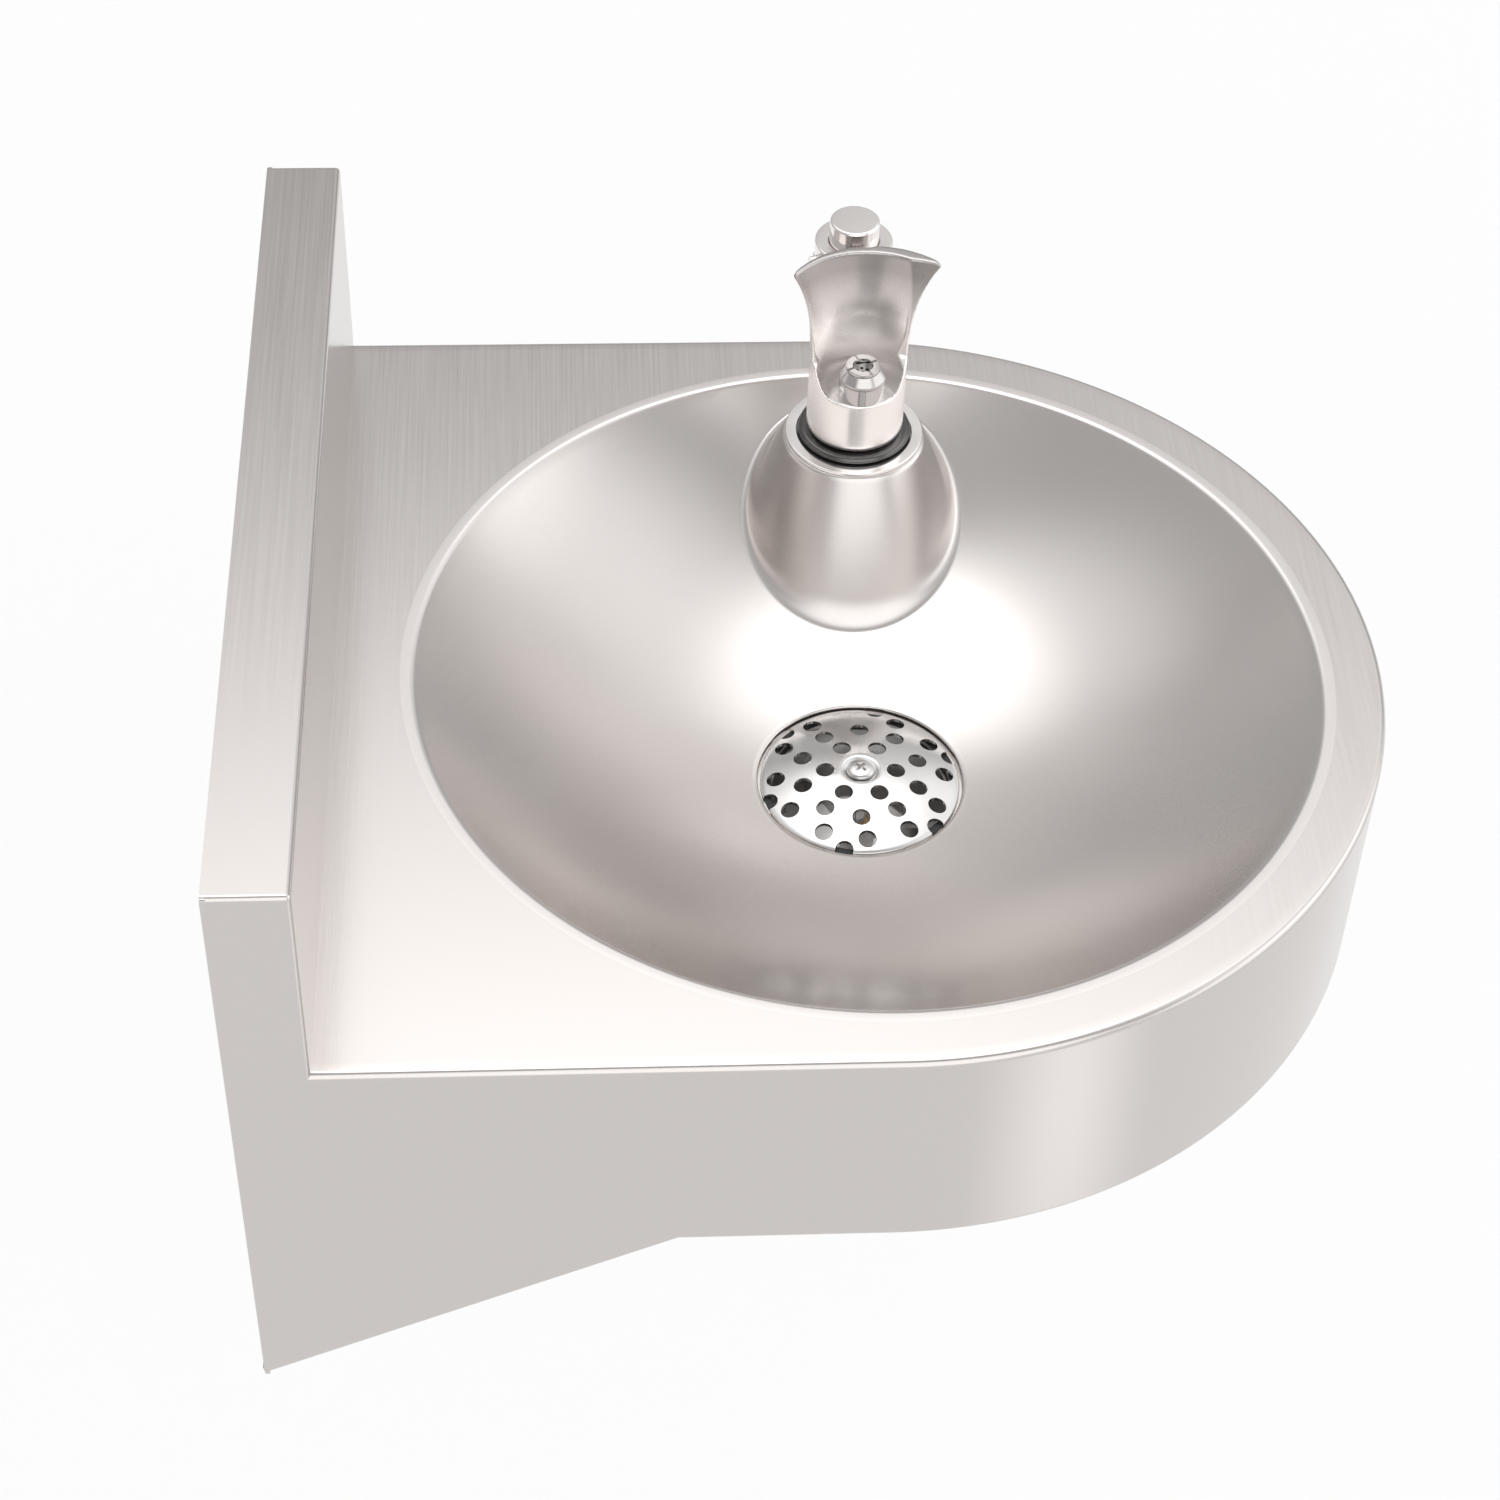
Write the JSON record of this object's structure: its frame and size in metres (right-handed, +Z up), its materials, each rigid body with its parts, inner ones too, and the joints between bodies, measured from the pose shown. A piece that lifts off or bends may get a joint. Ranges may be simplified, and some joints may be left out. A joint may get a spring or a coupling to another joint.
{
  "type": "drinking fountain",
  "caption": "Wall-hung steel drinking fountain with a round bowl, a raised pedestal, a push-button bubbler with a mouth guard, and a domed strainer.",
  "frame": {"origin": "on the wall, at the centre of the four wall-fixing holes, which is level with the deck", "axes": "+Y into the wall, +Z up, +X to the right of a person who faces the wall; the bubbler is on the +X side"},
  "size_m": [0.33, 0.3587, 0.2248],
  "materials": {
    "sheet_steel": "satin, fine lines along the folds",
    "bowl_steel": "satin, spun",
    "plain_steel": "mill finish",
    "polished_steel": "polished",
    "chrome": "brushed and polished",
    "spring_steel": "drawn wire",
    "brass": "machined",
    "black_rubber": "matt"
  },
  "bodies": {
    "fountain": {"deck_plate": "sheet_steel", "upstand_cover": "sheet_steel", "apron_band": "sheet_steel", "bowl": "bowl_steel", "pedestal": "bowl_steel", "hanger_bracket": "plain_steel", "strainer_dome": "polished_steel", "strainer_screw": "polished_steel", "strainer_seal": "black_rubber", "waste_gasket": "black_rubber", "waste_body": "plain_steel", "waste_bridge": "plain_steel", "waste_insert": "brass", "escutcheon_ring": "polished_steel", "base_gasket": "black_rubber", "base_ring": "chrome", "bubbler_body": "chrome", "threaded_shank": "chrome", "shank_oring": "black_rubber", "back_gasket": "black_rubber", "back_washer": "plain_steel", "back_nut": "brass", "nozzle_body": "chrome", "nozzle_crown": "chrome", "nozzle_screen": "plain_steel", "nozzle_oring": "black_rubber", "valve_bonnet": "chrome", "bonnet_lock_screw": "chrome", "bonnet_oring": "black_rubber", "stem_oring": "black_rubber", "return_spring": "spring_steel", "valve_seat": "brass"},
    "button": {"push_button": "chrome", "valve_stem": "plain_steel", "valve_piston": "brass", "seat_washer": "black_rubber"}
  },
  "joints": [
    {"name": "button_press", "type": "slide", "parent": "fountain", "child": "button", "axis": [0, 0, -1], "range_m": [0, 0.004], "stiffness_N_per_m": 2000, "springref_m": -0.003, "deforming": ["return_spring"]}
  ]
}
